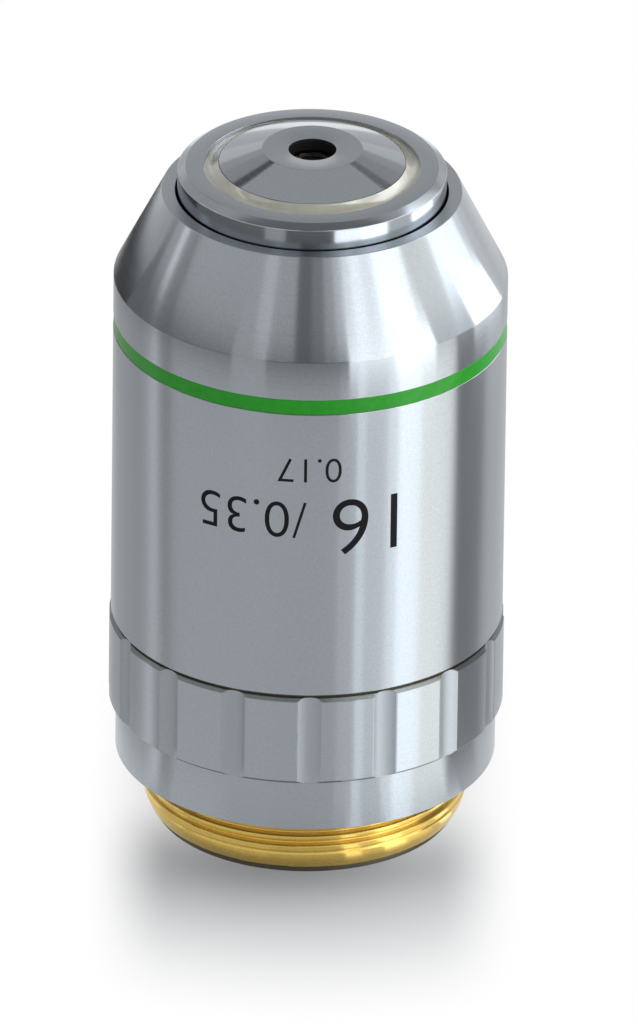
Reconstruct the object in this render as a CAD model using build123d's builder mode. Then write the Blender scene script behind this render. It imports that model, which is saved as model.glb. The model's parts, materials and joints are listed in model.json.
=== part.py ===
from build123d import *
from math import sqrt
import os

# Microscope objective with a spring-loaded nose, standing on the end of its mounting thread.
# Sizes are in millimetres, and every radius is measured from the optical axis, which is Z.

# Fits
fit_clearance = 0.02
running_clearance = 0.05
nose_gap = 0.12
rear_clearance = 0.2

# Mount: objective thread of 0.8 inch, shoulder band and fluted grip
thread_radius = 10.16
thread_length = 4.28
thread_chamfer_width = 0.7
thread_chamfer_height = 1.3
band_height = 3.39
band_step = 0.45
grip_height = 6.13
grip_rise = 0.1
grip_top_chamfer = 0.2
grip_foot_chamfer = 0.2
flute_count = 16
flute_depth = 0.3
flute_cutter_radius = 1.15
flute_turn = 1.3
seam_height = 0.18
sleeve_seat_width = 0.4
neck_height = 5.0

# Guide tube inside the sleeve
guide_wall = 1.3
guide_drop = 0.93
spring_ledge_height = 8.0
stop_ledge = 0.8
stop_height = 2.0
spanner_notch_width = 1.4
spanner_notch_depth = 0.8

# Outer sleeve with its conical top and the groove for the colour ring
sleeve_wall = 1.0
sleeve_air = 0.8
sleeve_height = 23.13
sleeve_foot_chamfer = 0.08
cone_height = 5.82
mouth_width = 0.83
mouth_lip_height = 0.6
colour_ring_height = 1.0
colour_ring_drop = 2.58
colour_groove_depth = 0.15
colour_ring_recess = 0.02

# Sliding lens barrel
nose_travel = 2.5
nose_reach = 1.66
nose_chamfer_width = 0.5
nose_chamfer_height = 0.33
nose_flat_width = 1.13
seat_ledge = 0.35
front_seat_depth = 1.2
lens_bore_radius = 6.35
tail_wall = 1.25
tail_rim = 0.5
collar_step = 0.72
collar_height = 10.0

# Guide screw and its slot in the barrel's collar
screw_height = 3.5
screw_radius = 1.0
screw_stand = 0.2
pin_radius = 0.7
pin_tip_clearance = 0.15
slot_depth = 0.75
driver_slot_width = 0.4
driver_slot_depth = 0.5

# Return spring
spring_wire_radius = 0.35
spring_turns = 6

# Front cell with its conical cap, and the bead that seals it
cap_rise = 0.24
cap_height = 0.97
dish_width = 1.62
dish_depth = 0.1
aperture_radius = 1.47
aperture_depth = 0.8
flange_height = 0.5
spigot_length = 3.2
front_exit_flare = 1.6
front_exit_height = 1.0
bead_width = 0.9
bead_inner_drop = 0.04
bead_outer_drop = 0.26
bead_hollow = 0.1

# Lenses: a positive curve bulges up, towards the front, and a negative one down
lens_lip_width = 0.5
lens_lip_height = 0.6
cell_end_margin = 0.1
front_lens_lip = 1.1
front_lens_edge = 1.0
front_lens_curve = -3.6
meniscus_cell_wall = 2.0
meniscus_edge = 1.2
meniscus_top_curve = -12.0
meniscus_foot_curve = -7.0
doublet_cell_wall = 1.6
crown_edge = 0.7
flint_centre = 0.85
front_crown_curve = 9.0
front_cement_curve = -8.0
rear_cement_curve = 8.0
rear_crown_curve = -9.0
rear_cell_wall = 1.4
rear_lens_centre = 2.0
rear_lens_curve = -14.0

# Spacers, aperture stop and retaining ring
spacer_wall = 1.2
front_spacer_height = 1.3
middle_spacer_height = 1.3
aperture_stop_radius = 3.6
aperture_stop_height = 0.5
rear_spacer_height = 2.5
retaining_ring_wall = 1.6
retaining_ring_height = 1.5


def sag(curve, radius):
    """How far a spherical face rises from its rim to the axis; a curve of 0 is a flat face."""
    if curve == 0:
        return 0
    depth = abs(curve) - sqrt(curve**2 - radius**2)
    return depth if curve > 0 else -depth


# Radii that follow, from the lens bore outwards
cell_radius = lens_bore_radius - fit_clearance
tail_radius = lens_bore_radius + tail_wall
counterbore_radius = lens_bore_radius + seat_ledge
nose_flat_radius = counterbore_radius + nose_flat_width
nose_radius = nose_flat_radius + nose_chamfer_width
collar_radius = nose_radius + collar_step
guide_bore_radius = collar_radius + running_clearance
stop_pocket_radius = guide_bore_radius + stop_ledge
guide_radius = guide_bore_radius + guide_wall
sleeve_bore_radius = guide_radius + sleeve_air
sleeve_radius = sleeve_bore_radius + sleeve_wall
neck_radius = sleeve_bore_radius - fit_clearance
mouth_bore_radius = nose_radius + nose_gap
mouth_radius = mouth_bore_radius + mouth_width
grip_radius = sleeve_radius + grip_rise
band_radius = grip_radius - band_step
rear_bore_radius = tail_radius + rear_clearance
spring_radius = (tail_radius + guide_bore_radius) / 2
cap_radius = counterbore_radius - bead_width
dish_radius = aperture_radius + dish_width
front_lens_radius = aperture_radius + front_lens_lip
meniscus_radius = lens_bore_radius - meniscus_cell_wall
doublet_radius = lens_bore_radius - doublet_cell_wall
rear_lens_radius = lens_bore_radius - rear_cell_wall

# Heights of the housing
grip_foot_z = thread_length + band_height
grip_top_z = grip_foot_z + grip_height
cone_foot_z = grip_top_z + sleeve_height
sleeve_top_z = cone_foot_z + cone_height
colour_ring_top_z = cone_foot_z - colour_ring_drop
colour_ring_foot_z = colour_ring_top_z - colour_ring_height
guide_top_z = cone_foot_z - guide_drop
stop_foot_z = guide_top_z - stop_height

# Heights of the barrel and of the screw that guides it
nose_top_z = sleeve_top_z + nose_reach
collar_foot_z = stop_foot_z - collar_height
front_seat_z = nose_top_z - front_seat_depth
screw_z = collar_foot_z + screw_height

# Heights of the lens stack, from the front cell down to the retaining ring
cap_foot_z = nose_top_z + cap_rise
cap_rim_z = cap_foot_z + cap_height
dish_floor_z = cap_rim_z - dish_depth
front_lens_z = dish_floor_z - aperture_depth
front_lens_rim_z = front_lens_z - front_lens_edge
front_cell_foot_z = front_seat_z - spigot_length
meniscus_seat_z = front_cell_foot_z - lens_lip_height
meniscus_rim_z = meniscus_seat_z - meniscus_edge
meniscus_cell_foot_z = meniscus_rim_z + sag(meniscus_foot_curve, meniscus_radius) - cell_end_margin
front_doublet_top_z = meniscus_cell_foot_z - front_spacer_height
front_crown_z = front_doublet_top_z - cell_end_margin - sag(front_crown_curve, doublet_radius)
front_cement_z = front_crown_z - crown_edge
front_doublet_seat_z = front_cement_z + sag(front_cement_curve, doublet_radius) - flint_centre
front_doublet_foot_z = front_doublet_seat_z - lens_lip_height
rear_doublet_top_z = front_doublet_foot_z - middle_spacer_height
rear_doublet_seat_z = rear_doublet_top_z - lens_lip_height
rear_cement_z = rear_doublet_seat_z - flint_centre - sag(rear_cement_curve, doublet_radius)
rear_crown_z = rear_cement_z - crown_edge
rear_doublet_foot_z = rear_crown_z + sag(rear_crown_curve, doublet_radius) - cell_end_margin
aperture_stop_foot_z = rear_doublet_foot_z - aperture_stop_height
rear_cell_top_z = aperture_stop_foot_z - rear_spacer_height
rear_lens_rim_z = rear_cell_top_z - cell_end_margin
rear_lens_seat_z = rear_lens_rim_z + sag(rear_lens_curve, rear_lens_radius) - rear_lens_centre
rear_cell_foot_z = rear_lens_seat_z - lens_lip_height
retaining_ring_foot_z = rear_cell_foot_z - retaining_ring_height


def turn(*outline):
    """Turn a closed outline of (radius, height) points about the optical axis."""
    with BuildSketch(Plane.XZ) as section:
        with BuildLine():
            Polyline(*outline, close=True)
        make_face()
    revolve(section.sketch, axis=Axis.Z)


def lens_face(rim_radius, rim_z, curve):
    """Draw one face of a lens from the axis to its rim, and give the height at the axis."""
    axis_z = rim_z + sag(curve, rim_radius)
    middle = rim_radius / 2
    if curve == 0:
        Line((0, rim_z), (rim_radius, rim_z))
    else:
        ThreePointArc((0, axis_z), (middle, axis_z - sag(curve, middle)), (rim_radius, rim_z))
    return axis_z


def lens(rim_radius, rim_top_z, top_curve, rim_foot_z, foot_curve):
    """Turn a lens from the two curves of its faces and the heights of its rim."""
    with BuildSketch(Plane.XZ) as section:
        with BuildLine():
            top_axis_z = lens_face(rim_radius, rim_top_z, top_curve)
            Line((rim_radius, rim_top_z), (rim_radius, rim_foot_z))
            foot_axis_z = lens_face(rim_radius, rim_foot_z, foot_curve)
            Line((0, foot_axis_z), (0, top_axis_z))
        make_face()
    revolve(section.sketch, axis=Axis.Z)


def lens_cell(lens_radius, lip_z, seat_z, open_z):
    """Turn a ring that holds a lens against a lip; the lens goes in from the open end."""
    pocket_radius = lens_radius + fit_clearance
    lip_radius = lens_radius - lens_lip_width
    turn(
        (lip_radius, lip_z),
        (cell_radius, lip_z),
        (cell_radius, open_z),
        (pocket_radius, open_z),
        (pocket_radius, seat_z),
        (lip_radius, seat_z),
    )


def ring(inner_radius, outer_radius, foot_z, top_z):
    """Turn a plain ring of rectangular section."""
    turn((inner_radius, foot_z), (outer_radius, foot_z), (outer_radius, top_z), (inner_radius, top_z))


def spanner_notches(reach, face_z, depth):
    """Cut two notches for a pin spanner across a ring, from its face up or down by the depth."""
    with BuildSketch(Plane.XY.offset(face_z)) as notches:
        Rectangle(2 * reach, spanner_notch_width)
    extrude(notches.sketch, amount=depth, mode=Mode.SUBTRACT)


# Mount base: thread, shoulder band, fluted grip, neck and guide tube are turned from one bar
with BuildPart() as mount_base:
    grip_rim_z = grip_top_z - seam_height
    turn(
        (rear_bore_radius, 0),
        (thread_radius - thread_chamfer_width, 0),
        (thread_radius, thread_chamfer_height),
        (thread_radius, thread_length),
        (band_radius, thread_length),
        (band_radius, grip_foot_z),
        (grip_radius - grip_foot_chamfer, grip_foot_z),
        (grip_radius, grip_foot_z + grip_foot_chamfer),
        (grip_radius, grip_rim_z - grip_top_chamfer),
        (grip_radius - grip_top_chamfer, grip_rim_z),
        (neck_radius + sleeve_seat_width, grip_rim_z),
        (neck_radius + sleeve_seat_width, grip_top_z),
        (neck_radius, grip_top_z),
        (neck_radius, grip_top_z + neck_height),
        (guide_radius, grip_top_z + neck_height),
        (guide_radius, guide_top_z),
        (stop_pocket_radius, guide_top_z),
        (stop_pocket_radius, stop_foot_z),
        (guide_bore_radius, stop_foot_z),
        (guide_bore_radius, spring_ledge_height),
        (rear_bore_radius, spring_ledge_height),
    )
    # Round-bottomed flutes along the grip, the first one just right of the front
    flute_centre_radius = grip_radius - flute_depth + flute_cutter_radius
    with BuildSketch(Plane.XY.offset(grip_foot_z)):
        with PolarLocations(flute_centre_radius, flute_count, start_angle=flute_turn - 90):
            Circle(flute_cutter_radius)
    extrude(amount=grip_height, mode=Mode.SUBTRACT)
    # Tapped hole for the guide screw, through the back of the guide tube
    with BuildSketch(Plane.XZ):
        with Locations((0, screw_z)):
            Circle(screw_radius + fit_clearance)
    extrude(amount=-sleeve_bore_radius, mode=Mode.SUBTRACT)

# Outer sleeve: screwed on to the neck, it rests on the grip's top and closes round the nose
with BuildPart() as outer_sleeve:
    turn(
        (sleeve_bore_radius, grip_top_z),
        (sleeve_radius - sleeve_foot_chamfer, grip_top_z),
        (sleeve_radius, grip_top_z + sleeve_foot_chamfer),
        (sleeve_radius, cone_foot_z),
        (mouth_radius, sleeve_top_z),
        (mouth_bore_radius, sleeve_top_z),
        (mouth_bore_radius, sleeve_top_z - mouth_lip_height),
        (sleeve_bore_radius, cone_foot_z),
    )
    groove_floor_radius = sleeve_radius - colour_groove_depth
    with BuildSketch(Plane.XY.offset(colour_ring_foot_z)):
        Circle(grip_radius)
        Circle(groove_floor_radius, mode=Mode.SUBTRACT)
    extrude(amount=colour_ring_height, mode=Mode.SUBTRACT)

# Colour ring: enamel that fills the groove and stays just below the metal
with BuildPart() as colour_ring:
    ring(groove_floor_radius, sleeve_radius - colour_ring_recess, colour_ring_foot_z, colour_ring_top_z)

# Stop ring: screwed into the top of the guide tube, above the barrel's collar
with BuildPart() as stop_ring:
    stop_ring_radius = stop_pocket_radius - fit_clearance
    ring(nose_radius + running_clearance, stop_ring_radius, stop_foot_z, guide_top_z)
    spanner_notches(stop_ring_radius, guide_top_z, -spanner_notch_depth)

# Return spring: a round wire between the ledge in the mount and the collar's underside
with BuildPart() as return_spring:
    coil_foot_z = spring_ledge_height + spring_wire_radius
    coil_height = collar_foot_z - spring_wire_radius - coil_foot_z
    with BuildLine() as coil:
        Helix(coil_height / spring_turns, coil_height, spring_radius, center=(0, 0, coil_foot_z))
    with BuildSketch(Plane(origin=coil.line @ 0, z_dir=coil.line % 0)):
        Circle(spring_wire_radius)
    sweep(path=coil.line, is_frenet=True)

# Guide screw: a headless screw in the guide tube, with a pin that runs in the collar's slot
with BuildPart() as guide_screw:
    pin_tip_radius = collar_radius - slot_depth + pin_tip_clearance
    screw_end_radius = guide_radius + screw_stand
    for rod_radius, rod_start in ((pin_radius, pin_tip_radius), (screw_radius, guide_bore_radius)):
        with BuildSketch(Plane.XZ.offset(-rod_start)):
            with Locations((0, screw_z)):
                Circle(rod_radius)
        extrude(amount=rod_start - screw_end_radius)
    with BuildSketch(Plane.XZ.offset(-screw_end_radius)):
        with Locations((0, screw_z)):
            Rectangle(2 * screw_radius, driver_slot_width)
    extrude(amount=driver_slot_depth, mode=Mode.SUBTRACT)

# Front cell: a flange on the barrel's seat, the conical cap above it and a spigot below
with BuildPart() as front_cell:
    flange_top_z = front_seat_z + flange_height
    flange_radius = counterbore_radius - fit_clearance
    front_pocket_radius = front_lens_radius + fit_clearance
    front_exit_radius = front_pocket_radius + front_exit_flare
    turn(
        (aperture_radius, dish_floor_z),
        (dish_radius, cap_rim_z),
        (cap_radius, cap_foot_z),
        (cap_radius, flange_top_z),
        (flange_radius, flange_top_z),
        (flange_radius, front_seat_z),
        (cell_radius, front_seat_z),
        (cell_radius, front_cell_foot_z),
        (front_exit_radius, front_cell_foot_z),
        (front_exit_radius, front_cell_foot_z + front_exit_height),
        (front_pocket_radius, front_lens_rim_z),
        (front_pocket_radius, front_lens_z),
        (aperture_radius, front_lens_z),
    )

# Front lens: flat towards the specimen, strongly curved behind
with BuildPart() as front_lens:
    lens(front_lens_radius, front_lens_z, 0, front_lens_rim_z, front_lens_curve)

# Sealant bead: fills the space between the cap and the nose's rim, with a hollow top that climbs the cap
with BuildPart() as sealant_bead:
    bead_inner = (cap_radius, cap_foot_z - bead_inner_drop)
    bead_outer = (counterbore_radius, nose_top_z - bead_outer_drop)
    bead_middle = ((bead_inner[0] + bead_outer[0]) / 2, (bead_inner[1] + bead_outer[1]) / 2 - bead_hollow)
    with BuildSketch(Plane.XZ):
        with BuildLine():
            Polyline(bead_outer, (counterbore_radius, flange_top_z), (cap_radius, flange_top_z), bead_inner)
            ThreePointArc(bead_inner, bead_middle, bead_outer)
        make_face()
    revolve(axis=Axis.Z)

# Meniscus and its cell, with the lip towards the front
with BuildPart() as meniscus_cell:
    lens_cell(meniscus_radius, front_cell_foot_z, meniscus_seat_z, meniscus_cell_foot_z)

with BuildPart() as meniscus_lens:
    lens(meniscus_radius, meniscus_seat_z, meniscus_top_curve, meniscus_rim_z, meniscus_foot_curve)

with BuildPart() as front_spacer:
    ring(cell_radius - spacer_wall, cell_radius, front_doublet_top_z, meniscus_cell_foot_z)

# Front doublet: the crown lies on the flint, which rests on a lip at the cell's foot
with BuildPart() as front_doublet_cell:
    lens_cell(doublet_radius, front_doublet_foot_z, front_doublet_seat_z, front_doublet_top_z)

with BuildPart() as front_doublet_flint:
    lens(doublet_radius, front_cement_z, front_cement_curve, front_doublet_seat_z, 0)

with BuildPart() as front_doublet_crown:
    lens(doublet_radius, front_crown_z, front_crown_curve, front_cement_z, front_cement_curve)

with BuildPart() as middle_spacer:
    ring(cell_radius - spacer_wall, cell_radius, rear_doublet_top_z, front_doublet_foot_z)

# Rear doublet: the same pair the other way round, against a lip at the cell's top
with BuildPart() as rear_doublet_cell:
    lens_cell(doublet_radius, rear_doublet_top_z, rear_doublet_seat_z, rear_doublet_foot_z)

with BuildPart() as rear_doublet_flint:
    lens(doublet_radius, rear_doublet_seat_z, 0, rear_cement_z, rear_cement_curve)

with BuildPart() as rear_doublet_crown:
    lens(doublet_radius, rear_cement_z, rear_cement_curve, rear_crown_z, rear_crown_curve)

with BuildPart() as aperture_stop:
    ring(aperture_stop_radius, cell_radius, aperture_stop_foot_z, rear_doublet_foot_z)

with BuildPart() as rear_spacer:
    ring(cell_radius - spacer_wall, cell_radius, rear_cell_top_z, aperture_stop_foot_z)

# Rear lens: hollow towards the front, flat on the lip at its cell's foot
with BuildPart() as rear_cell:
    lens_cell(rear_lens_radius, rear_cell_foot_z, rear_lens_seat_z, rear_cell_top_z)

with BuildPart() as rear_lens:
    lens(rear_lens_radius, rear_lens_rim_z, rear_lens_curve, rear_lens_seat_z, 0)

# Retaining ring: screwed into the barrel's tail, it holds the whole stack against the front cell
with BuildPart() as retaining_ring:
    ring(cell_radius - retaining_ring_wall, cell_radius, retaining_ring_foot_z, rear_cell_foot_z)
    spanner_notches(cell_radius, retaining_ring_foot_z, spanner_notch_depth)

# Lens barrel: the nose, the guided collar with its slot, and the tail that the spring goes round
with BuildPart() as lens_barrel:
    barrel_foot_z = retaining_ring_foot_z - tail_rim
    turn(
        (lens_bore_radius, barrel_foot_z),
        (tail_radius, barrel_foot_z),
        (tail_radius, collar_foot_z),
        (collar_radius, collar_foot_z),
        (collar_radius, stop_foot_z),
        (nose_radius, stop_foot_z),
        (nose_radius, nose_top_z - nose_chamfer_height),
        (nose_flat_radius, nose_top_z),
        (counterbore_radius, nose_top_z),
        (counterbore_radius, front_seat_z),
        (lens_bore_radius, front_seat_z),
    )
    with BuildSketch(Plane.XZ.offset(slot_depth - collar_radius)):
        with Locations((0, screw_z + nose_travel / 2)):
            SlotCenterToCenter(nose_travel, 2 * (pin_radius + running_clearance), rotation=90)
    extrude(amount=-collar_radius, mode=Mode.SUBTRACT)

pieces = {
    "mount_base": mount_base,
    "outer_sleeve": outer_sleeve,
    "colour_ring": colour_ring,
    "stop_ring": stop_ring,
    "return_spring": return_spring,
    "guide_screw": guide_screw,
    "lens_barrel": lens_barrel,
    "front_cell": front_cell,
    "front_lens": front_lens,
    "sealant_bead": sealant_bead,
    "meniscus_cell": meniscus_cell,
    "meniscus_lens": meniscus_lens,
    "front_spacer": front_spacer,
    "front_doublet_cell": front_doublet_cell,
    "front_doublet_crown": front_doublet_crown,
    "front_doublet_flint": front_doublet_flint,
    "middle_spacer": middle_spacer,
    "rear_doublet_cell": rear_doublet_cell,
    "rear_doublet_flint": rear_doublet_flint,
    "rear_doublet_crown": rear_doublet_crown,
    "aperture_stop": aperture_stop,
    "rear_spacer": rear_spacer,
    "rear_cell": rear_cell,
    "rear_lens": rear_lens,
    "retaining_ring": retaining_ring,
}
os.makedirs("parts", exist_ok=True)
for piece_name, piece in pieces.items():
    piece.part.label = piece_name
    export_step(piece.part, f"parts/{piece_name}.step")
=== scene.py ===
import json
import math

import bmesh
import bpy
from mathutils import Matrix, Quaternion, Vector


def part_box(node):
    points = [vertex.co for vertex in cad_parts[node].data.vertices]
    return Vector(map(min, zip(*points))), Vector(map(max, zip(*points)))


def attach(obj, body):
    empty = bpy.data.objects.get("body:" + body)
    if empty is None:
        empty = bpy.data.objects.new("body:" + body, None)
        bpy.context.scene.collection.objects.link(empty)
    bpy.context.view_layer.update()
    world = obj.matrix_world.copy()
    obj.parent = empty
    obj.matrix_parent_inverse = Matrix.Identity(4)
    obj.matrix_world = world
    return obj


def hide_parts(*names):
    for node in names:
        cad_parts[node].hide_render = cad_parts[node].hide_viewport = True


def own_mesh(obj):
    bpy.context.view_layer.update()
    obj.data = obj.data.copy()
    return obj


# Looks of a microscope objective that stands on its mounting thread with the front lens up.
# Outlines are in millimetres, from the optical axis and from the thread's end. Meshes are in metres.
MM = 0.001
INCH = 25.4
FULL_TURN = 2 * math.pi

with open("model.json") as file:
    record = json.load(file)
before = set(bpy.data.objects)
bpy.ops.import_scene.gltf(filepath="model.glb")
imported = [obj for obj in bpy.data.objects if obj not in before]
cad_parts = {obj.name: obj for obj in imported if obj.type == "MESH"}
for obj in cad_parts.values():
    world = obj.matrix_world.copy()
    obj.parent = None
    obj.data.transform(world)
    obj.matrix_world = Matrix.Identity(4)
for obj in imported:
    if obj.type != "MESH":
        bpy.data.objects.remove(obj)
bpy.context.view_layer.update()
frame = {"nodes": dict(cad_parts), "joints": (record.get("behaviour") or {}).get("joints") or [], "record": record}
mounts = {mount["name"]: mount for mount in frame["record"]["mounts"]}


def reach(node):
    """Outer radius of a turned node, in millimetres."""
    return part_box(node)[1].x / MM


def foot(node):
    """Height of a node's lowest point, in millimetres."""
    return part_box(node)[0].z / MM


def top(node):
    """Height of a node's highest point, in millimetres."""
    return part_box(node)[1].z / MM


# Sizes that the frame gives
thread_radius = mounts["objective_thread"]["dims"]["r_mm"]
shoulder_z = mounts["shoulder"]["pos_m"][2] / MM
sleeve_radius = reach("outer_sleeve")
sleeve_foot_z = foot("outer_sleeve")
sleeve_top_z = top("outer_sleeve")
enamel_radius = reach("colour_ring")
enamel_foot_z = foot("colour_ring")
enamel_top_z = top("colour_ring")
collar_radius = reach("lens_barrel")
barrel_foot_z = foot("lens_barrel")
nose_top_z = top("lens_barrel")
stop_foot_z = foot("stop_ring")
guide_top_z = top("stop_ring")
flange_radius = reach("front_cell")
cell_foot_z = foot("front_cell")
cap_rim_z = top("front_cell")
front_lens_z = top("front_lens")
seal_radius = reach("sealant_bead")
flange_top_z = foot("sealant_bead")
spring_ledge_z = foot("return_spring")
collar_foot_z = top("return_spring")
nose_travel = frame["joints"][0]["range_m"][1] / MM

# Sizes of the mount that the frame's boxes don't give
turns_per_inch = 36
thread_pitch = INCH / turns_per_inch
rear_bore_radius = 7.8
band_radius = 11.85
grip_radius = 12.3
grip_foot_z = 7.67
grip_rim_z = 13.62
grip_foot_chamfer = 0.2
grip_top_chamfer = 0.2
flute_count = 16
flute_depth = 0.3
flute_cutter_radius = 1.15
# Degrees of the first flute from the front, which is 90 degrees before the X axis
flute_offset = 1.3
first_flute = math.radians(flute_offset - 90)
seam_radius = 11.9
neck_radius = 11.18
neck_top_z = 18.8
guide_radius = 10.4
guide_bore_radius = 9.1
stop_pocket_radius = 9.9

# Sizes of the sleeve
sleeve_bore_radius = 11.2
sleeve_foot_chamfer = 0.08
groove_radius = 12.05
cone_foot_z = 36.93
mouth_radius = 9.28
mouth_bore_radius = 8.45
mouth_lip = 0.6

# Sizes of the barrel, its front cap and the bead
nose_radius = 8.33
nose_flat_radius = 7.83
nose_chamfer_height = 0.33
tail_radius = 7.6
lens_bore_radius = 6.35
front_seat_z = 43.21
cell_radius = 6.33
cap_radius = 5.8
cap_foot_z = 44.65
dish_radius = 3.09
dish_floor_z = 45.52
aperture_radius = 1.47
lens_pocket_radius = 2.59
front_lens_edge = 1.0
cell_exit_radius = 4.19
cell_exit_height = 1.0
bead_inner_z = 44.66
bead_outer_z = 44.15
bead_hollow = 0.18

# Guide screw and its slot
screw_rise = 3.5
screw_z = collar_foot_z + screw_rise
screw_hole_radius = 1.02
slot_width = 1.5
slot_floor_radius = 8.3
drill_sides = 48
drill_overrun = 1

# Mesh fineness and the softening of turned edges
turn_steps = 256
corner_steps = 3
edge_softness = 0.04
smooth_limit = math.radians(9)
round_limit = math.radians(40)

# Vertices closer than these distances, in metres, are one
weld = 1e-6
fine_weld = 1e-7

# How far off a size a face on it may lie, and the tilts that part walls, chamfers and flats
face_margin = 0.05
fine_margin = 0.02
upward_tilt = 0.1
wall_tilt = 0.3
flat_tilt = 0.95


def mesh_piece(name, shape, limit=smooth_limit):
    """Make an object from a finished bmesh, smooth except at edges sharper than the limit."""
    mesh = bpy.data.meshes.new(name)
    shape.to_mesh(mesh)
    shape.free()
    mesh.shade_smooth()
    mesh.set_sharp_from_angle(angle=limit)
    piece = bpy.data.objects.new(name, mesh)
    bpy.context.scene.collection.objects.link(piece)
    return piece


def wire(outline, softness=edge_softness):
    """Draw a closed outline of (radius, height) points in the XZ plane, with its corners rounded."""
    shape = bmesh.new()
    corners = [shape.verts.new((radius * MM, 0, height * MM)) for radius, height in outline]
    for here, there in zip(corners, corners[1:] + corners[:1]):
        shape.edges.new((here, there))
    bmesh.ops.bevel(
        shape,
        geom=corners,
        offset=softness * MM,
        offset_type="OFFSET",
        affect="VERTICES",
        segments=corner_steps,
        profile=0.5,
        material=-1,
        clamp_overlap=True,
    )
    return shape


def revolve(shape, steps=turn_steps):
    """Spin a closed wire all the way round the optical axis."""
    bmesh.ops.spin(
        shape,
        geom=shape.verts[:] + shape.edges[:],
        cent=(0, 0, 0),
        axis=(0, 0, 1),
        angle=FULL_TURN,
        steps=steps,
        use_merge=True,
    )
    bmesh.ops.recalc_face_normals(shape, faces=shape.faces)
    return shape


def set_radius(vert, radius):
    """Move a vertex straight towards or away from the optical axis."""
    scale = radius * MM / vert.co.xy.length
    vert.co.x *= scale
    vert.co.y *= scale


def cut(piece, tool):
    """Take a tool's volume out of a piece for good."""
    blade = mesh_piece("blade", tool)
    bite = piece.modifiers.new("bite", "BOOLEAN")
    bite.operation = "DIFFERENCE"
    bite.solver = "MANIFOLD"
    bite.object = blade
    graph = bpy.context.evaluated_depsgraph_get()
    carved = bpy.data.meshes.new_from_object(piece.evaluated_get(graph))
    carved.materials.clear()
    piece.modifiers.clear()
    piece.data = carved
    bpy.data.objects.remove(blade)


def paint_faces(piece, finish, wanted):
    """Give one of a piece's finishes to the faces that the test picks by their centre and direction."""
    slot_index = piece.data.materials.find(finish.name)
    for face in piece.data.polygons:
        radius = face.center.xy.length / MM
        if wanted(radius, face.center.z / MM, face.normal):
            face.material_index = slot_index


def dress(piece, body, node, slot, *finishes):
    """Set a piece on its body in place of a CAD node, with its finishes."""
    for finish in finishes:
        piece.data.materials.append(finish)
    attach(piece, body)
    if node:
        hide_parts(node)


# Finishes


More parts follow.
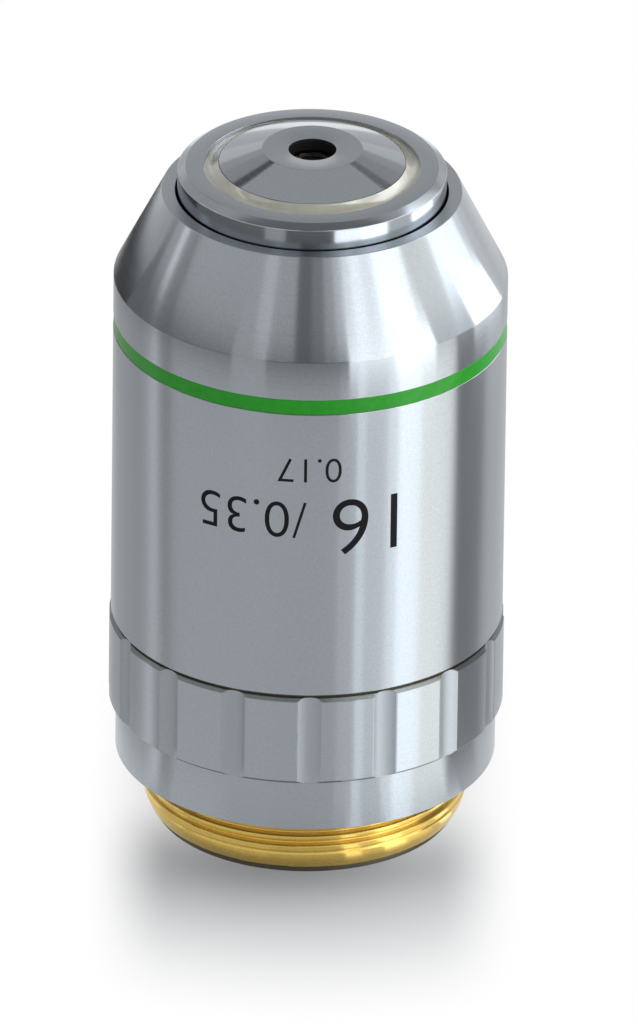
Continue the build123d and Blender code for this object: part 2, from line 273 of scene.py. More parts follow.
class Finish:
    """A material with its node tree, its main shader and a few ways to feed it."""

    # Share of a flat's radius that counts as length along the profile
    flat_share = 0.8
    ring_detail = 3
    ring_contrast = 0.6
    # The part of 0 to 1 that a noise pattern mostly keeps to
    pattern_range = (0.25, 0.75)
    blend_range = (0.3, 0.7)

    def __init__(self, name):
        self.material = bpy.data.materials.new(name)
        self.material.use_nodes = True
        self.tree = self.material.node_tree
        self.shader = self.tree.nodes["Principled BSDF"]

    def node(self, kind, **settings):
        """Add a shader node with its settings."""
        made = self.tree.nodes.new("ShaderNode" + kind)
        for name, value in settings.items():
            setattr(made, name, value)
        return made

    def link(self, source, target):
        """Join an output to an input."""
        self.tree.links.new(source, target)

    def set(self, **values):
        """Set plain values on the main shader, by the names of its inputs."""
        for name, value in values.items():
            socket = name.replace("_", " ").title().replace("Ior", "IOR")
            self.shader.inputs[socket].default_value = value

    def math(self, operation, first, second=None):
        """One step of arithmetic on numbers or outputs."""
        step = self.node("Math", operation=operation)
        for socket, value in zip(step.inputs, (first, second)):
            if value is None:
                continue
            if isinstance(value, (int, float)):
                socket.default_value = value
            else:
                self.link(value, socket)
        return step.outputs[0]

    def place(self):
        """The object's own coordinates, in metres."""
        return self.node("TexCoord").outputs["Object"]

    def along_profile(self):
        """A length that grows along any turned face, up a wall and out over a flat."""
        split = self.node("SeparateXYZ")
        self.link(self.place(), split.inputs[0])
        flat = self.node("CombineXYZ")
        self.link(split.outputs["X"], flat.inputs["X"])
        self.link(split.outputs["Y"], flat.inputs["Y"])
        size = self.node("VectorMath", operation="LENGTH")
        self.link(flat.outputs[0], size.inputs[0])
        outwards = self.math("MULTIPLY", size.outputs["Value"], self.flat_share)
        return self.math("ADD", split.outputs["Z"], outwards)

    def turning_lines(self, pitch):
        """Uneven rings left by the turning tool, from 0 to 1."""
        lines = self.node("TexNoise", noise_dimensions="1D")
        lines.inputs["Scale"].default_value = 1 / (pitch * MM)
        lines.inputs["Detail"].default_value = self.ring_detail
        lines.inputs["Roughness"].default_value = self.ring_contrast
        self.link(self.along_profile(), lines.inputs["W"])
        return lines.outputs["Fac"]

    def grain(self, size, detail=2):
        """Fine speckle of a given grain size, from 0 to 1."""
        specks = self.node("TexNoise")
        specks.inputs["Scale"].default_value = 1 / (size * MM)
        specks.inputs["Detail"].default_value = detail
        self.link(self.place(), specks.inputs["Vector"])
        return specks.outputs["Fac"]

    def ranged(self, source, before, after, **settings):
        """Map a value from one range on to another."""
        mapped = self.node("MapRange", **settings)
        for socket, value in zip(("From Min", "From Max", "To Min", "To Max"), (*before, *after)):
            mapped.inputs[socket].default_value = value
        self.link(source, mapped.inputs["Value"])
        return mapped.outputs[0]

    def roughen(self, source, smoothest, roughest):
        """Vary the roughness between two values by a 0 to 1 pattern."""
        roughness = self.ranged(source, self.pattern_range, (smoothest, roughest))
        self.link(roughness, self.shader.inputs["Roughness"])

    def shade(self, source, dark, light):
        """Blend two colours by a 0 to 1 pattern."""
        blend = self.node("ValToRGB")
        stops = zip(blend.color_ramp.elements, self.blend_range, (dark, light))
        for stop, position, colour in stops:
            stop.position = position
            stop.color = (*colour, 1)
        self.link(source, blend.inputs["Fac"])
        self.link(blend.outputs["Color"], self.shader.inputs["Base Color"])

    def bump(self, source, depth):
        """Raise a 0 to 1 pattern by a depth in millimetres."""
        relief = self.node("Bump")
        relief.inputs["Distance"].default_value = depth * MM
        self.link(source, relief.inputs["Height"])
        self.link(relief.outputs["Normal"], self.shader.inputs["Normal"])

    def stretch(self, amount, direction):
        """Spread reflections one way: across the rings of turning, or round the axis."""
        tangent = self.node("Tangent", direction_type="RADIAL", axis="Z")
        self.link(tangent.outputs[0], self.shader.inputs["Tangent"])
        self.set(anisotropic=amount, anisotropic_rotation=direction)


# Directions of drawn-out reflections, as turns, and the fineness of cut metal in millimetres
across_rings = 0.25
round_axis = 0.0
metal_grain = 0.12
ring_depth = 0.0003


def turned_metal(name, colours, roughness, pitch, depth=ring_depth, stretch=1.0, direction=across_rings):
    """A cut metal face: fine rings, a little grain and reflections drawn out one way."""
    finish = Finish(name)
    finish.set(metallic=1.0)
    finish.stretch(stretch, direction)
    rings = finish.turning_lines(pitch)
    finish.shade(finish.grain(metal_grain), *colours)
    finish.roughen(rings, *roughness)
    finish.bump(rings, depth)
    return finish.material


def blackened_metal():
    """Matt black finish inside the objective."""
    finish = Finish("matt_black")
    finish.set(metallic=0.0, specular_ior_level=0.12)
    rings = finish.turning_lines(pitch=0.25)
    finish.shade(rings, (0.008, 0.008, 0.008), (0.016, 0.016, 0.016))
    finish.roughen(rings, 0.5, 0.65)
    finish.bump(rings, depth=0.01)
    return finish.material


def spring_wire():
    """Drawn steel wire with fine scratches."""
    finish = Finish("drawn_steel")
    finish.set(metallic=1.0)
    scratches = finish.grain(0.15, detail=4)
    finish.shade(scratches, (0.32, 0.32, 0.33), (0.46, 0.46, 0.48))
    finish.roughen(scratches, 0.25, 0.4)
    return finish.material


def lens_glass():
    """Polished glass with the faint tint of an antireflection coating."""
    finish = Finish("coated_glass")
    finish.set(ior=1.52, transmission_weight=1.0, base_color=(0.95, 0.98, 1.0, 1))
    finish.set(specular_tint=(0.45, 0.36, 0.3, 1))
    dust = finish.grain(0.4, detail=3)
    finish.roughen(dust, 0.0, 0.03)
    return finish.material


def enamel():
    """Glossy green enamel, a little uneven in its groove."""
    finish = Finish("green_gloss")
    finish.set(specular_ior_level=0.3)
    cloud = finish.grain(0.5, detail=3)
    finish.shade(cloud, (0.008, 0.25, 0.006), (0.012, 0.29, 0.009))
    finish.roughen(cloud, 0.28, 0.36)
    return finish.material


def sealant():
    """Cured cream sealant: glossy and slightly see-through."""
    finish = Finish("cream_seal")
    finish.set(subsurface_weight=0.2, subsurface_scale=0.3 * MM, specular_ior_level=0.8)
    finish.set(coat_weight=1.0, coat_roughness=0.1, coat_ior=1.9)
    cloud = finish.grain(0.8, detail=3)
    finish.shade(cloud, (0.4, 0.395, 0.32), (0.45, 0.445, 0.37))
    finish.roughen(cloud, 0.14, 0.2)
    return finish.material


def ink():
    """Black printing ink."""
    finish = Finish("black_ink")
    finish.set(specular_ior_level=0.1)
    specks = finish.grain(0.1, detail=3)
    finish.shade(specks, (0.004, 0.004, 0.005), (0.01, 0.01, 0.012))
    finish.roughen(specks, 0.55, 0.7)
    return finish.material


# Colours of the cut metals, each from dark to light. The darker chrome and brass are painted shade, for the grip's
# chamfers, the seam and the thread's end.
chrome = ((0.345, 0.375, 0.405), (0.375, 0.408, 0.44))
shaded_chrome = ((0.19, 0.21, 0.21), (0.23, 0.25, 0.25))
brass = ((0.7, 0.48, 0.11), (0.8, 0.57, 0.16))
shaded_brass = ((0.11, 0.1, 0.07), (0.16, 0.145, 0.1))

sleeve_finish = turned_metal("satin_sleeve", chrome, (0.2, 0.23), pitch=0.16)
cone_finish = turned_metal("fine_cone", chrome, (0.2, 0.23), pitch=0.12)
flute_finish = turned_metal("milled_flute", chrome, (0.3, 0.34), pitch=0.16, direction=round_axis)
# Painted shade: the grip's chamfers get a darker chrome for the shadow under the grip and a painted dark
# reflection on its top chamfer
shaded_edge_finish = turned_metal("painted_shade_edge", shaded_chrome, (0.25, 0.3), pitch=0.12)
nose_finish = turned_metal("turned_nose", chrome, (0.15, 0.19), pitch=0.12, depth=0.0004, stretch=0.6)
cap_finish = turned_metal("turned_cap", chrome, (0.08, 0.11), pitch=0.1, depth=0.0001, stretch=0.0)
brass_finish = turned_metal("bare_brass", brass, (0.25, 0.3), pitch=0.1, stretch=0.8)
# Painted shade: a dark brass for the thread's end, which faces down into the shadow on the table, and for the seam
# under the sleeve
shaded_brass_finish = turned_metal("painted_shade_brass", shaded_brass, (0.4, 0.5), pitch=0.1, depth=0.0006)
black_finish = blackened_metal()
steel_finish = spring_wire()
glass_finish = lens_glass()
enamel_finish = enamel()
seal_finish = sealant()
ink_finish = ink()


# Mount: the bare thread and the chromed band, grip and guide tube

flute_columns = 53
flute_margin = 0.003
seam_margin = 0.1
chamfer_least = 0.1
chamfer_cuts = 9
flute_centre_radius = grip_radius - flute_depth + flute_cutter_radius
flute_turn = FULL_TURN / flute_count


def flute_surface(angle):
    """Radius of the flute's floor at an angle from the flute's middle, or None beside the flute."""
    aside = flute_centre_radius * math.sin(angle)
    if abs(aside) >= flute_cutter_radius:
        return None
    return flute_centre_radius * math.cos(angle) - math.sqrt(flute_cutter_radius**2 - aside**2)


def cut_flutes(shape):
    """Press the round-bottomed flutes into the grip, with one flute centred on the X axis."""
    for vert in shape.verts:
        height = vert.co.z / MM
        if not grip_foot_z - edge_softness < height < grip_rim_z + edge_softness:
            continue
        angle = math.atan2(vert.co.y, vert.co.x)
        aside = (angle + flute_turn / 2) % flute_turn - flute_turn / 2
        floor = flute_surface(aside)
        if floor is not None and vert.co.xy.length > floor * MM:
            set_radius(vert, floor)


def grip_shape():
    """Turn the band, grip, neck and guide tube, with closer rows on the grip's chamfers."""
    shape = wire(
        [
            (rear_bore_radius, shoulder_z),
            (band_radius, shoulder_z),
            (band_radius, grip_foot_z),
            (grip_radius - grip_foot_chamfer, grip_foot_z),
            (grip_radius, grip_foot_z + grip_foot_chamfer),
            (grip_radius, grip_rim_z - grip_top_chamfer),
            (grip_radius - grip_top_chamfer, grip_rim_z),
            (seam_radius, grip_rim_z),
            (seam_radius, sleeve_foot_z),
            (neck_radius, sleeve_foot_z),
            (neck_radius, neck_top_z),
            (guide_radius, neck_top_z),
            (guide_radius, guide_top_z),
            (stop_pocket_radius, guide_top_z),
            (stop_pocket_radius, stop_foot_z),
            (guide_bore_radius, stop_foot_z),
            (guide_bore_radius, spring_ledge_z),
            (rear_bore_radius, spring_ledge_z),
        ]
    )
    chamfers = []
    for edge in shape.edges:
        here, there = edge.verts
        run = here.co - there.co
        if min(abs(run.x), abs(run.z)) > chamfer_least * MM:
            chamfers.append(edge)
    bmesh.ops.subdivide_edges(shape, edges=chamfers, cuts=chamfer_cuts)
    revolve(shape, steps=flute_count * flute_columns)
    cut_flutes(shape)
    bmesh.ops.rotate(shape, verts=shape.verts, cent=(0, 0, 0), matrix=Matrix.Rotation(first_flute, 3, "Z"))
    return shape


def rod(radius, start, end, height):
    """A round rod along Y, for drilling from the back."""
    shape = bmesh.new()
    bmesh.ops.create_cone(
        shape,
        cap_ends=True,
        segments=drill_sides,
        radius1=radius * MM,
        radius2=radius * MM,
        depth=(end - start) * MM,
    )
    bmesh.ops.rotate(shape, verts=shape.verts, cent=(0, 0, 0), matrix=Matrix.Rotation(math.pi / 2, 3, "X"))
    bmesh.ops.translate(shape, verts=shape.verts, vec=(0, (start + end) / 2 * MM, height * MM))
    return shape


grip_base = mesh_piece("grip_base", grip_shape())
hole_start = guide_bore_radius - drill_overrun
hole_end = guide_radius + drill_overrun
cut(grip_base, rod(screw_hole_radius, hole_start, hole_end, screw_z))
grip_finishes = (sleeve_finish, flute_finish, shaded_edge_finish, shaded_brass_finish, black_finish)
dress(grip_base, "housing", "mount_base", "chromed_brass", *grip_finishes)


def on_flute(radius, height, normal):
    """Whether a face lies on a flute's floor."""
    on_grip = grip_foot_z < height < grip_rim_z
    return on_grip and band_radius < radius < grip_radius - flute_margin and abs(normal.z) < wall_tilt


def on_grip_edge(radius, height, normal):
    """Whether a face lies on one of the grip's chamfers."""
    tilted = wall_tilt < abs(normal.z) < flat_tilt
    return tilted and radius > band_radius + fine_margin and height < grip_rim_z


def in_seam(radius, height, normal):
    """Whether a face lies in the seam between the grip and the sleeve."""
    near_seam = neck_radius - seam_margin < radius < seam_radius + seam_margin
    return near_seam and height > grip_rim_z - face_margin


def on_guide(radius, height, normal):
    """Whether a face lies on the guide tube or inside the mount."""
    on_tube = radius < guide_radius + face_margin and height > neck_top_z
    return on_tube or radius < stop_pocket_radius


paint_faces(grip_base, flute_finish, on_flute)
# The grip's chamfers are painted darker, as shade and dark reflection
paint_faces(grip_base, shaded_edge_finish, on_grip_edge)
# The seam under the sleeve is painted dark as shade
paint_faces(grip_base, shaded_brass_finish, in_seam)
paint_faces(grip_base, black_finish, on_guide)

# The crests are turned down in a curve towards the end, where the groove is only a faint line
thread_steps = 192
thread_points = 20
thread_limit = math.radians(30)
end_taper = 0.81
taper_height = 2.2
# Below this height the thread's end is painted dark as shade
painted_shade_z = 0.5
groove_z = 2.38
faint_z = 1.7
deep_z = 2.3
faint_groove = (0.16, 0.08)
deep_groove = (0.3, 0.27)
plain_end_z = 1.1
plain_fade = 0.4


def rise(value, start, end):
    """0 before the start, 1 after the end and an even slope between them."""
    return min(max((value - start) / (end - start), 0), 1)


def thread_surface(angle, height):
    """Radius of the thread at an angle from the front and a height."""
    crest = thread_radius - end_taper * (1 - rise(height, 0, taper_height)) ** 2
    aside = height - groove_z - thread_pitch * angle / FULL_TURN
    aside = (aside + thread_pitch / 2) % thread_pitch - thread_pitch / 2
    share = rise(height, faint_z, deep_z)
    half_width, depth = (faint + (deep - faint) * share for faint, deep in zip(faint_groove, deep_groove))
    depth *= rise(height, plain_end_z, plain_end_z + plain_fade)
    if abs(aside) >= half_width:
        return crest
    return crest - depth * (0.5 + 0.5 * math.cos(math.pi * aside / half_width))


def open_loop(shape, height):
    """The open edges of a shape that lie at a height."""
    edges = []
    for edge in shape.edges:
        level = all(abs(vert.co.z - height * MM) < weld for vert in edge.verts)
        if edge.is_boundary and level:
            edges.append(edge)
    return edges


def thread_shape():
    """Sweep rows along the helix, cut them to length, press the groove in and close them to the bore."""
    shape = bmesh.new()
    row_height = thread_pitch / thread_points
    rows = math.ceil((shoulder_z + 2 * thread_pitch) / row_height)
    points = []
    for row in range(rows):
        points.append(shape.verts.new((0, -thread_radius * MM, (row * row_height - thread_pitch) * MM)))
    for here, there in zip(points, points[1:]):
        shape.edges.new((here, there))
    bmesh.ops.spin(
        shape,
        geom=shape.verts[:] + shape.edges[:],
        cent=(0, 0, 0),
        axis=(0, 0, 1),
        dvec=(0, 0, thread_pitch * MM / thread_steps),
        angle=FULL_TURN,
        steps=thread_steps,
        use_merge=False,
    )
    bmesh.ops.remove_doubles(shape, verts=shape.verts, dist=weld)
    for height, keep_above in ((0, True), (shoulder_z, False)):
        bmesh.ops.bisect_plane(
            shape,
            geom=shape.verts[:] + shape.edges[:] + shape.faces[:],
            plane_co=(0, 0, height * MM),
            plane_no=(0, 0, 1),
            clear_inner=keep_above,
            clear_outer=not keep_above,
        )
    for vert in shape.verts:
        angle = math.atan2(vert.co.x, -vert.co.y)
        set_radius(vert, thread_surface(angle, vert.co.z / MM))
    bore_edges = []
    for height in (0, shoulder_z):
        grown = bmesh.ops.extrude_edge_only(shape, edges=open_loop(shape, height))["geom"]
        for vert in grown:
            if isinstance(vert, bmesh.types.BMVert):
                set_radius(vert, rear_bore_radius)
        bore_edges += [edge for edge in grown if isinstance(edge, bmesh.types.BMEdge) and edge.is_boundary]
    bmesh.ops.bridge_loops(shape, edges=bore_edges)
    bmesh.ops.recalc_face_normals(shape, faces=shape.faces)
    return shape


thread_end = mesh_piece("thread_end", thread_shape(), thread_limit)
thread_end.visible_diffuse = False
dress(thread_end, "housing", None, "chromed_brass", brass_finish, black_finish, shaded_brass_finish)
# The thread's end is painted dark as shade, up to the height above
paint_faces(thread_end, shaded_brass_finish, lambda radius, height, normal: height < painted_shade_z)
paint_faces(thread_end, black_finish, lambda radius, height, normal: radius < rear_bore_radius + face_margin)


# Sleeve, its colour ring and its figures

sleeve = mesh_piece(
    "sleeve",
    revolve(
        wire(
            [
                (sleeve_bore_radius, sleeve_foot_z),
                (sleeve_radius - sleeve_foot_chamfer, sleeve_foot_z),
                (sleeve_radius, sleeve_foot_z + sleeve_foot_chamfer),
                (sleeve_radius, enamel_foot_z),
                (groove_radius, enamel_foot_z),
                (groove_radius, enamel_top_z),
                (sleeve_radius, enamel_top_z),
                (sleeve_radius, cone_foot_z),
                (mouth_radius, sleeve_top_z),
                (mouth_bore_radius, sleeve_top_z),
                (mouth_bore_radius, sleeve_top_z - mouth_lip),
                (sleeve_bore_radius, cone_foot_z),
            ]
        )
    ),
)


def inside_sleeve(radius, height, normal):
    """Whether a face lies inside the sleeve and doesn't look up."""
    return radius < sleeve_bore_radius + face_margin and normal.z < upward_tilt


dress(sleeve, "housing", "outer_sleeve", "chromed_brass", sleeve_finish, cone_finish, black_finish)
paint_faces(sleeve, cone_finish, lambda radius, height, normal: height > cone_foot_z)
paint_faces(sleeve, black_finish, inside_sleeve)

enamel_ring = mesh_piece(
    "enamel_ring",
    revolve(
        wire(
            [
                (groove_radius, enamel_foot_z),
                (enamel_radius, enamel_foot_z),
                (enamel_radius, enamel_top_z),
                (groove_radius, enamel_top_z),
            ]
        )
    ),
)
dress(enamel_ring, "housing", "colour_ring", "green_enamel", enamel_finish)

figure_strip = 0.25
figure_weld = 0.001
letter_thinning = 0.01
ink_height = 0.012


def flat_figures(body, size):
    """Write figures upside down on a flat plane, centred, and give them as a bmesh in millimetres."""
    letters = bpy.data.curves.new("figures", "FONT")
    letters.body = body
    letters.size = size
    letters.offset = -letter_thinning * size
    letters.align_x = "CENTER"
    letters.align_y = "CENTER"
    holder = bpy.data.objects.new("figures", letters)
    bpy.context.scene.collection.objects.link(holder)
    graph = bpy.context.evaluated_depsgraph_get()
    mesh = bpy.data.meshes.new_from_object(holder.evaluated_get(graph))
    bpy.data.objects.remove(holder)
    shape = bmesh.new()
    shape.from_mesh(mesh)
    bpy.data.meshes.remove(mesh)
    bmesh.ops.rotate(shape, verts=shape.verts, cent=(0, 0, 0), matrix=Matrix.Rotation(math.pi, 3, "Z"))
    return shape


def printed_figures(name, body, size, across, height):
    """Print figures round the sleeve, at a distance to the right of the front and a height."""
    shape = flat_figures(body, size)
    edges_x = [vert.co.x for vert in shape.verts]
    strips = math.ceil((max(edges_x) - min(edges_x)) / figure_strip)
    for strip in range(1, strips):
        bmesh.ops.bisect_plane(
            shape,
            geom=shape.verts[:] + shape.edges[:] + shape.faces[:],
            plane_co=(min(edges_x) + strip * figure_strip, 0, 0),
            plane_no=(1, 0, 0),
        )
    bmesh.ops.remove_doubles(shape, verts=shape.verts, dist=figure_weld)
    for vert in shape.verts:
        angle = (vert.co.x + across) / sleeve_radius
        radius = sleeve_radius + ink_height
        vert.co = Vector((radius * math.sin(angle), -radius * math.cos(angle), vert.co.y + height)) * MM
    bmesh.ops.recalc_face_normals(shape, faces=shape.faces)
    for face in shape.faces:
        face.normal_update()
        if face.normal.dot(face.calc_center_median() * Vector((1, 1, 0))) < 0:
            face.normal_flip()
    bmesh.ops.solidify(shape, geom=shape.faces[:], thickness=2 * ink_height * MM)
    piece = mesh_piece(name, shape)
    piece.data.materials.append(ink_finish)
    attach(piece, "housing")


# Figures: name, text, size, distance to the right of the front and height
figure_rows = (
    ("figures_main", "16", 5.6, 4.1, 25.75),
    ("figures_second", "/0.35", 3.6, -3.6, 26.2),
    ("figures_small", "0.17", 2.4, 0.1, 29.6),
)
for row in figure_rows:
    printed_figures(*row)


# Barrel, front cap and bead

nose_barrel = mesh_piece(
    "nose_barrel",
    revolve(
        wire(
            [
                (lens_bore_radius, barrel_foot_z),
                (tail_radius, barrel_foot_z),
                (tail_radius, collar_foot_z),
                (collar_radius, collar_foot_z),
                (collar_radius, stop_foot_z),
                (nose_radius, stop_foot_z),
                (nose_radius, nose_top_z - nose_chamfer_height),
                (nose_flat_radius, nose_top_z),
                (seal_radius, nose_top_z),
                (seal_radius, front_seat_z),
                (lens_bore_radius, front_seat_z),
            ]
        )
    ),
)


def slot_tool():
    """A round-ended slot along the axis, for the guide screw's pin."""
    shape = rod(slot_width / 2, slot_floor_radius, collar_radius + drill_overrun, screw_z)
    upper = [vert for vert in shape.verts if vert.co.z > screw_z * MM + fine_weld]
    bmesh.ops.translate(shape, verts=upper, vec=(0, 0, nose_travel * MM))
    return shape


cut(nose_barrel, slot_tool())
dress(nose_barrel, "lens_group", "lens_barrel", "chromed_brass", nose_finish, black_finish)
paint_faces(nose_barrel, black_finish, lambda radius, height, normal: radius < lens_bore_radius + face_margin)

front_cap = mesh_piece(
    "front_cap",
    revolve(
        wire(
            [
                (aperture_radius, dish_floor_z),
                (dish_radius, cap_rim_z),
                (cap_radius, cap_foot_z),
                (cap_radius, flange_top_z),
                (flange_radius, flange_top_z),
                (flange_radius, front_seat_z),
                (cell_radius, front_seat_z),
                (cell_radius, cell_foot_z),
                (cell_exit_radius, cell_foot_z),
                (cell_exit_radius, cell_foot_z + cell_exit_height),
                (lens_pocket_radius, front_lens_z - front_lens_edge),
                (lens_pocket_radius, front_lens_z),
                (aperture_radius, front_lens_z),
            ]
        )
    ),
)
dress(front_cap, "lens_group", "front_cell", "chromed_brass", cap_finish, black_finish)
paint_faces(front_cap, black_finish, lambda radius, height, normal: radius < aperture_radius + fine_margin)
paint_faces(front_cap, black_finish, lambda radius, height, normal: height < front_lens_z)

bead_points = 12
bead_softness = 0.01
# Waves round the bead: how many, their phase and their height
bead_waves = ((3, 0.4, 0.006), (5, 1.9, 0.006), (9, 4.1, 0.003))


def bead_shape():
    """Turn the bead with its hollow top, then make it as uneven as sealant run in by hand."""
    outline = [(seal_radius, flange_top_z), (cap_radius, flange_top_z)]
    for point in range(bead_points + 1):
        share = point / bead_points
        radius = cap_radius + (seal_radius - cap_radius) * share
        height = bead_inner_z + (bead_outer_z - bead_inner_z) * share
        outline.append((radius, height - 4 * bead_hollow * share * (1 - share)))
    shape = revolve(wire(outline, softness=bead_softness))
    for vert in shape.verts:
        height = vert.co.z / MM
        if height < bead_outer_z - face_margin:
            continue
        angle = math.atan2(vert.co.y, vert.co.x)
        wave = sum(size * math.sin(count * angle + phase) for count, phase, size in bead_waves)
        vert.co.z += wave * MM
    return shape


seal_bead = mesh_piece("seal_bead", bead_shape(), round_limit)
dress(seal_bead, "lens_group", "sealant_bead", "cream_sealant", seal_finish)


# Return spring, which the nose presses shorter as it slides in; here it keeps the CAD node's shape, on a mesh of
# its own

spring_shape = bmesh.new()
spring_shape.from_mesh(frame["nodes"]["return_spring"].data)
bmesh.ops.remove_doubles(spring_shape, verts=spring_shape.verts, dist=fine_weld)
coil_spring = mesh_piece("coil_spring", spring_shape, round_limit)
dress(coil_spring, "housing", "return_spring", "spring_steel", steel_finish)
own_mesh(coil_spring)


# Pieces that keep their CAD shape

cad_finishes = {
    "blackened_brass": black_finish,
    "spring_steel": steel_finish,
    "optical_glass": glass_finish,
}
for subpart in frame["record"]["subparts"]:
    finish = cad_finishes.get(subpart["material_slot"])
    if finish:
        frame["nodes"][subpart["node"]].data.materials[0] = finish


# Floor, cards, world and camera

floor_size = 1.2
disc_sides = 96
table_colour = (0.578, 0.588, 0.605, 1)

# Where the table fades to white, in metres: all round, to the sides and behind
white_ahead = (0.009, 0.03)
white_aside = (0.0082, 0.0138)
white_behind = (-0.011, 0.001)
shade_behind = 0.3


def floor_finish():
    """A pale, matt table that is plain white away from the object."""
    finish = Finish("pale_table")
    finish.set(base_color=table_colour, specular_ior_level=0.0)
    split = finish.node("SeparateXYZ")
    finish.link(finish.place(), split.inputs[0])
    away = finish.node("VectorMath", operation="LENGTH")
    finish.link(finish.place(), away.inputs[0])
    aside = finish.math("ABSOLUTE", split.outputs["X"])
    grey = 1.0
    fades = (
        (away.outputs["Value"], white_ahead, 0.0),
        (aside, white_aside, 0.0),
        (split.outputs["Y"], white_behind, shade_behind),
    )
    for source, distances, rest in fades:
        fade = finish.ranged(source, distances, (1.0, rest), interpolation_type="SMOOTHSTEP")
        grey = finish.math("MULTIPLY", fade, grey)
    path = finish.node("LightPath")
    seen = finish.math("ADD", path.outputs["Is Camera Ray"], path.outputs["Is Glossy Ray"])
    seen = finish.math("ADD", seen, path.outputs["Is Transmission Ray"])
    share = finish.math("MULTIPLY", finish.math("MINIMUM", seen, 1.0), finish.math("SUBTRACT", 1.0, grey))
    white = finish.node("Emission")
    blend = finish.node("MixShader")
    output = finish.tree.nodes["Material Output"]
    finish.link(share, blend.inputs["Fac"])
    finish.link(finish.shader.outputs[0], blend.inputs[1])
    finish.link(white.outputs[0], blend.inputs[2])
    finish.link(blend.outputs[0], output.inputs["Surface"])
    return finish.material


floor_shape = bmesh.new()
bmesh.ops.create_circle(floor_shape, cap_ends=True, segments=disc_sides, radius=floor_size)
floor = mesh_piece("table", floor_shape)
floor.data.materials.append(floor_finish())

# Cards: azimuths are in degrees from the front, growing to the right
card_step = 4
plain = (1, 1, 1)
cool = (0.96, 0.985, 1)
warm = (1, 0.985, 0.93)


def light_up(panel, name, level, tint):
    """Make a panel glow, unseen by the camera."""
    glow = Finish(name)
    light = glow.node("Emission")
    light.inputs["Color"].default_value = (*tint, 1)
    light.inputs["Strength"].default_value = level
    glow.link(light.outputs[0], glow.tree.nodes["Material Output"].inputs["Surface"])
    panel.data.materials.append(glow.material)
    panel.visible_camera = False


def upright(distance, heights):
    """The ends of an upright card's line, at one distance."""
    return [(distance, height) for height in heights]


def spun_card(name, ends, start, end, level, tint):
    """A glowing card: the line between two (distance, height) points in metres, spun between two azimuths."""
    shape = bmesh.new()
    shape.edges.new([shape.verts.new((0, -distance, height)) for distance, height in ends])
    bmesh.ops.rotate(
        shape, verts=shape.verts, cent=(0, 0, 0), matrix=Matrix.Rotation(math.radians(start), 3, "Z")
    )
    bmesh.ops.spin(
        shape,
        geom=shape.verts[:] + shape.edges[:],
        cent=(0, 0, 0),
        axis=(0, 0, 1),
        angle=math.radians(end - start),
        steps=math.ceil((end - start) / card_step),
        use_merge=end - start >= 360,
    )
    panel = mesh_piece(name, shape)
    light_up(panel, name, level, tint)
    return panel


# Far cards light everything and show in the cone and the top: azimuths, elevations, level, tint and layer
far_distance = 0.6
far_layer = 0.02
far_centre_z = 0.03
floor_gap = 0.001
ceiling_elevation = 50
ceiling_split = 0.13
ceiling_layer = 4
ceiling_radius = far_distance + ceiling_layer * far_layer
tall = (-3, ceiling_elevation)
far_cards = (
    ("surround", -180, 180, tall, 0.78, plain, 3),
    ("rear_low", 140, 220, (-3, 13), 0.74, plain, 2),
    ("rear_middle", 140, 220, (13, 24), 0.9, plain, 2),
    ("rear_high", 140, 220, (24, 31), 0.62, plain, 2),
    ("rear_top", 140, 220, (31, 41), 0.54, plain, 2),
    ("rear_gap_right", 140, 180, (41, 46), 0.3, plain, 2),
    ("rear_gap_left", 180, 220, (41, 46), 0.15, plain, 2),
    ("far_left", -150, -119, tall, 0.62, plain, 2),
    ("left_dim", -119, -113, tall, 0.45, plain, 2),
    ("left_strip", -104.5, -99.5, tall, 1.5, plain, 1),
    ("left_flag", -98, -88, tall, 0.48, plain, 1),
    ("front_left_strip", -33, -24, tall, 1.05, plain, 1),
    ("front_flag", -9, 1, tall, 0.28, plain, 1),
    ("front_dim", 1, 9, tall, 0.45, plain, 1),
    ("right_step", 16, 22, tall, 1.2, plain, 1),
    ("right_rise", 22, 28, tall, 1.9, plain, 1),
    ("side_strip", 28, 36, tall, 2.5, plain, 1),
    ("side_panel", 36, 45, tall, 2.1, plain, 1),
    ("main_softbox", 45, 68, tall, 3.0, cool, 1),
    ("warm_panel", 68, 93, tall, 1.65, warm, 1),
    ("right_softbox", 93, 124, tall, 3.0, cool, 1),
    ("right_fall", 124, 131, tall, 1.9, plain, 1),
    ("right_rear", 131, 140, tall, 1.4, plain, 1),
)
for name, start, end, elevations, level, tint, layer in far_cards:
    distance = far_distance + layer * far_layer
    heights = [far_centre_z + distance * math.tan(math.radians(angle)) for angle in elevations]
    heights[0] = max(heights[0], floor_gap)
    spun_card(name, upright(distance, heights), start, end, level, tint)

ceiling_z = far_centre_z + far_distance * math.tan(math.radians(ceiling_elevation))
ceilings = (("front_ceiling", 0.25, True), ("rear_ceiling", 0.65, False))
for name, level, front in ceilings:
    shape = bmesh.new()
    bmesh.ops.create_circle(shape, cap_ends=True, segments=disc_sides, radius=ceiling_radius)
    bmesh.ops.bisect_plane(
        shape,
        geom=shape.verts[:] + shape.edges[:] + shape.faces[:],
        plane_co=(0, ceiling_split, 0),
        plane_no=(0, 1, 0),
        clear_inner=not front,
        clear_outer=front,
    )
    bmesh.ops.translate(shape, verts=shape.verts, vec=(0, 0, ceiling_z))
    light_up(mesh_piece(name, shape), name, level, plain)

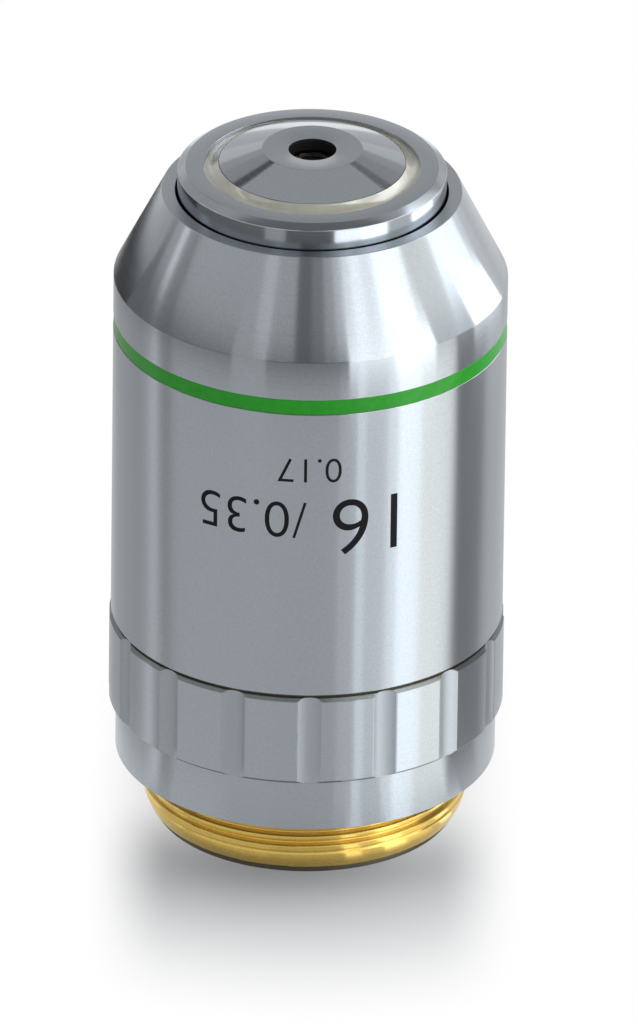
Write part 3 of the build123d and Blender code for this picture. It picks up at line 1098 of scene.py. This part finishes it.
# Near cards only show in the metal: a tube round the object, up to the cone and to the nose
near_distance = 20
outer_distance = 20.5
sleeve_band = (0.3, 33.2)
nose_band = (33.2, 40.0)
nose_side_band = (33.2, 38.3)
cap_band = (38.3, 44.15)
outer_cards = (
    ("low_tube", sleeve_band, -180, 180, 0.76, plain),
    ("cap_panel", cap_band, 148, 212, 1.2, plain),
)
sleeve_cards = (
    ("low_left_dim", -80, -56, 0.6, plain),
    ("low_left_streak", -53, -49.5, 1.05, plain),
    ("low_left_dark", -49.5, -44, 0.5, plain),
    ("low_right_step", 9, 14.2, 0.92, plain),
    ("low_streak", 14.2, 17, 1.55, cool),
    ("low_panel", 17, 23.5, 1.2, plain),
    ("low_rise", 23.5, 27, 1.65, plain),
    ("low_softbox", 27, 34.6, 2.45, cool),
    ("low_warm", 34.6, 47.4, 1.95, warm),
    ("low_dark", 47.4, 62.5, 0.34, plain),
)
back_cards = (
    ("back_strip", 164, 176, 1.6, plain),
    ("back_flag", 176, 187, 0.45, plain),
)
table_ends = ((10.5, 0.15), (17, 0.15))
table_cards = (
    ("table_left", -75, -14, 0.6, plain),
    ("table_front", -14, 17, 0.5, plain),
    ("table_streak", 17, 24, 1.6, plain),
    ("table_step", 24, 34, 0.8, plain),
    ("table_softbox", 34, 45, 2.4, cool),
    ("table_warm", 45, 60, 1.2, warm),
    ("table_side", 66, 76, 2.0, plain),
)
nose_cards = (
    ("nose_left_dim", -58, -20, 0.22, plain),
    ("nose_left_light", -20, -11, 0.6, plain),
    ("nose_front", -11, 10, 0.18, plain),
    ("nose_streak", 10, 22, 2.6, plain),
    ("nose_softbox", 22, 34, 4.0, cool),
    ("nose_warm", 34, 48, 1.0, plain),
)
nose_side_cards = (
    ("nose_left", -90, -58, 0.03, plain),
    ("nose_right", 48, 63, 4.2, cool),
)


def mirror_azimuth(shown, radius):
    """Azimuth of the near card that shows at an azimuth of a cylinder."""
    shown = math.radians(shown)
    along = radius * math.cos(shown)
    travel = math.sqrt(along**2 - radius**2 + near_distance**2) - along
    across = radius * math.sin(shown) + travel * math.sin(2 * shown)
    ahead = radius * math.cos(shown) + travel * math.cos(2 * shown)
    return math.degrees(math.atan2(across, ahead))


def near_card(name, ends, start, end, level, tint):
    """A card close to the object, in millimetres, which lights nothing and only shows in the metal."""
    ends = [(distance * MM, height * MM) for distance, height in ends]
    panel = spun_card(name, ends, start, end, level, tint)
    panel.visible_diffuse = False
    panel.visible_transmission = False
    panel.visible_shadow = False


for name, band, start, end, level, tint in outer_cards:
    near_card(name, upright(outer_distance, band), start, end, level, tint)
for name, start, end, level, tint in table_cards:
    near_card(name, table_ends, start, end, level, tint)
for name, start, end, level, tint in back_cards:
    near_card(name, upright(near_distance, sleeve_band), start, end, level, tint)

# These cards' azimuths say where on the cylinder they show
shown_cards = (
    (sleeve_cards, sleeve_radius, sleeve_band),
    (nose_cards, nose_radius, nose_band),
    (nose_side_cards, nose_radius, nose_side_band),
)
for rows, radius, band in shown_cards:
    for name, shown_from, shown_to, level, tint in rows:
        start = mirror_azimuth(shown_from, radius)
        end = mirror_azimuth(shown_to, radius)
        near_card(name, upright(near_distance, band), start, end, level, tint)

world = bpy.data.worlds.new("studio")
bpy.context.scene.world = world
world.use_nodes = True
sky = world.node_tree.nodes["Background"]
sky.inputs["Color"].default_value = (1, 1, 1, 1)
sky.inputs["Strength"].default_value = 1.0

view_elevation = math.radians(27.45)
view_roll = 0.0128
view_distance = 1.5
picture_height = 1024
pixels_per_mm = 16.093
frame_height = picture_height / pixels_per_mm * MM
aim = Vector((0.691, 0, 20.33)) * MM

camera_data = bpy.data.cameras.new("camera")
camera_data.sensor_width = 36
camera_data.lens = camera_data.sensor_width * view_distance / frame_height
camera_data.clip_start = 0.1
camera_data.clip_end = 20
camera = bpy.data.objects.new("camera", camera_data)
bpy.context.scene.collection.objects.link(camera)
towards_camera = Vector((0, -math.cos(view_elevation), math.sin(view_elevation)))
camera.location = aim + towards_camera * view_distance
camera.rotation_mode = "QUATERNION"
unrolled = (-towards_camera).to_track_quat("-Z", "Y")
camera.rotation_quaternion = unrolled @ Quaternion((0, 0, 1), view_roll)
bpy.context.scene.camera = camera
bpy.context.scene.view_settings.view_transform = "Standard"
